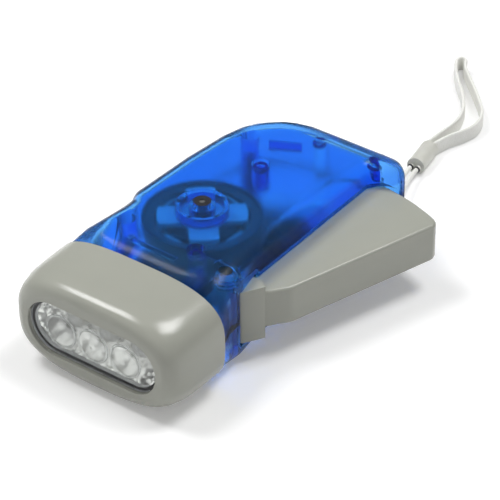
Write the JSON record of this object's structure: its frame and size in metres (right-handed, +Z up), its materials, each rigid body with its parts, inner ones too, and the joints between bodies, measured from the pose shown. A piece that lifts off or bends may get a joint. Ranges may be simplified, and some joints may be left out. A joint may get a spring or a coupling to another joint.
{
  "type": "hand-press dynamo flashlight",
  "caption": "Palm-sized squeeze flashlight: clear blue case over a gear train and generator, grey head with a lens window, swinging press lever and wrist strap.",
  "frame": {"origin": "on the flat underside, below the middle lamp's axis and beside the flywheel axle", "axes": "+X the way the light shines, +Y the lever side, +Z up from the underside"},
  "size_m": [0.1666, 0.0645, 0.027],
  "materials": {
    "blue_shell": "clear tinted, glossy",
    "grey_plastic": "semi-gloss moulded",
    "clear_plastic": "clear, polished",
    "mirror_plastic": "vacuum-plated, bright",
    "board": "satin",
    "black_plastic": "satin",
    "steel": "plain",
    "dark_nylon": "satin",
    "white_nylon": "satin",
    "ferrite": "matt",
    "copper_wire": "enamelled",
    "white_strap": "woven",
    "strap_plastic": "satin"
  },
  "bodies": {
    "body": {"lower_shell": "blue_shell", "upper_shell": "blue_shell", "head_bezel": "grey_plastic", "lens_window": "clear_plastic", "reflector": "mirror_plastic", "lamp_left": "clear_plastic", "lamp_middle": "clear_plastic", "lamp_right": "clear_plastic", "lamp_board": "board", "rectifier_diodes": "black_plastic", "fly_axle": "steel", "axle_bush": "black_plastic", "upper_yoke": "steel", "lower_yoke": "steel", "coil_bobbin": "white_nylon", "coil_winding": "copper_wire", "drive_axle": "steel", "pivot_pin": "steel", "return_spring": "steel", "case_screws": "steel", "strap_cord": "white_strap", "strap_sleeve": "strap_plastic", "strap_ribbon": "white_strap"},
    "lever": {"press_lever": "grey_plastic"},
    "drive_gear": {"drive_wheel": "dark_nylon", "drive_pinion": "white_nylon"},
    "rotor": {"flywheel": "dark_nylon", "ring_magnet": "ferrite"}
  },
  "joints": [
    {"name": "lever_press", "type": "hinge", "parent": "body", "child": "lever", "pos_m": [0.0165, 0.0164, 0.0135], "axis": [0, 0, 1], "range_deg": [0, 18], "stiffness_Nm_per_rad": 0.3, "springref_deg": -22.92, "deforming": ["return_spring"]},
    {"name": "drive_spin", "type": "hinge", "parent": "body", "child": "drive_gear", "pos_m": [-0.0176, -0.00009, 0.006], "axis": [0, 0, 1], "range_deg": [-148, 1]},
    {"name": "flywheel_spin", "type": "hinge", "parent": "body", "child": "rotor", "pos_m": [-0.0002, -0.0029, 0.015], "axis": [0, 0, 1], "range_deg": [-2, 624]}
  ],
  "couplings": [
    {"joint": "drive_spin", "follows": "lever_press", "ratio": -8.1818},
    {"joint": "flywheel_spin", "follows": "lever_press", "ratio": 34.545}
  ]
}
